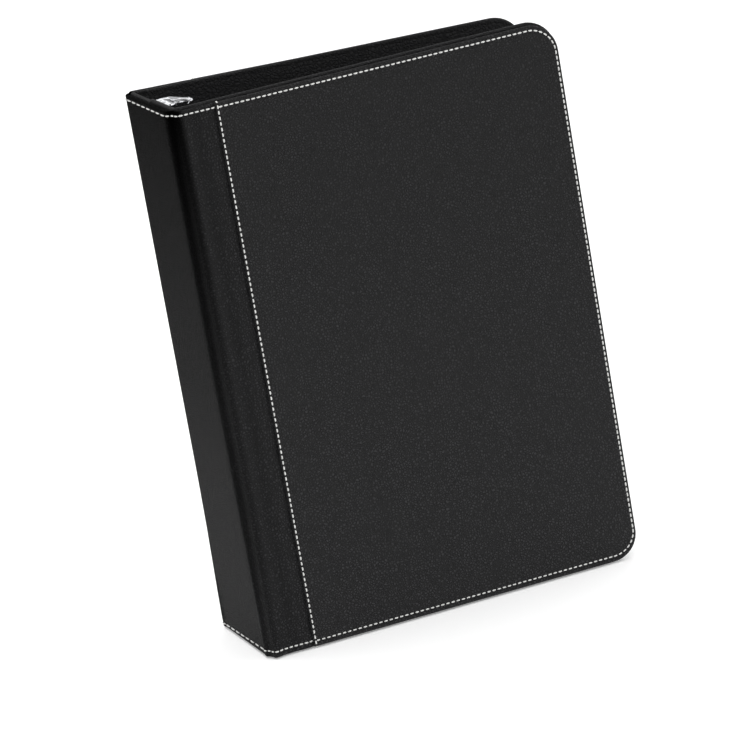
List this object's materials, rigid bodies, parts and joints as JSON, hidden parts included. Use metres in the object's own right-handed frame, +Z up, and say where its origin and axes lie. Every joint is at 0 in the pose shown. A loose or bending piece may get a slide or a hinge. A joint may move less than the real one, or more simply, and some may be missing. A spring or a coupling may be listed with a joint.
{
  "type": "three-ring binder",
  "caption": "Leather-covered three-ring binder standing on its lower edges, with hinged covers, pockets and chrome rings with opening levers",
  "frame": {"origin": "on the floor under the middle of the spine's thickness line, at the spine's lower edge", "axes": "+Z up along the spine; +X from the spine to the fore-edges; -Y towards the front cover"},
  "size_m": [0.1679, 0.0668, 0.2359],
  "materials": {
    "leather": "fine grain, semi-matt black",
    "lining": "matt black lining",
    "board": "grey bookbinding board, hidden",
    "chrome": "bright nickel-chrome plate"
  },
  "bodies": {
    "spine": {"spine_leather": "leather", "spine_board": "board", "spine_lining": "lining", "ring_housing": "chrome", "rivet_bottom": "chrome", "rivet_top": "chrome"},
    "front_cover": {"front_strip_leather": "leather", "front_panel_leather": "leather", "front_board": "board", "front_lining": "lining", "front_pocket": "leather"},
    "back_cover": {"back_strip_leather": "leather", "back_panel_leather": "leather", "back_board": "board", "back_lining": "lining", "back_pocket": "leather"},
    "front_rings": {"front_blade": "chrome", "front_half_ring_bottom": "chrome", "front_half_ring_middle": "chrome", "front_half_ring_top": "chrome"},
    "back_rings": {"back_blade": "chrome", "back_half_ring_bottom": "chrome", "back_half_ring_middle": "chrome", "back_half_ring_top": "chrome"},
    "top_lever_body": {"top_lever": "chrome"},
    "bottom_lever_body": {"bottom_lever": "chrome"}
  },
  "joints": [
    {"name": "front_cover_hinge", "type": "hinge", "parent": "spine", "child": "front_cover", "pos_m": [0.0011, -0.0277, 0.1175], "axis": [0, 0, -1], "range_deg": [-2.7, 175]},
    {"name": "back_cover_hinge", "type": "hinge", "parent": "spine", "child": "back_cover", "pos_m": [0.0011, 0.0277, 0.1175], "axis": [0, 0, 1], "range_deg": [0, 175]},
    {"name": "ring_open", "type": "hinge", "parent": "spine", "child": "front_rings", "pos_m": [0.0063, -0.011, 0.1175], "axis": [0, 0, -1], "range_deg": [0, 10]},
    {"name": "back_ring_open", "type": "hinge", "parent": "spine", "child": "back_rings", "pos_m": [0.0063, 0.011, 0.1175], "axis": [0, 0, 1], "range_deg": [0, 10]},
    {"name": "top_lever_pull", "type": "hinge", "parent": "spine", "child": "top_lever_body", "pos_m": [0.0063, 0, 0.2275], "axis": [0, -1, 0], "range_deg": [0, 15]},
    {"name": "bottom_lever_pull", "type": "hinge", "parent": "spine", "child": "bottom_lever_body", "pos_m": [0.0063, 0, 0.0075], "axis": [0, 1, 0], "range_deg": [0, 15]}
  ],
  "couplings": [
    {"joint": "back_ring_open", "follows": "ring_open", "ratio": 1},
    {"joint": "top_lever_pull", "follows": "ring_open", "ratio": 1.5},
    {"joint": "bottom_lever_pull", "follows": "ring_open", "ratio": 1.5}
  ]
}
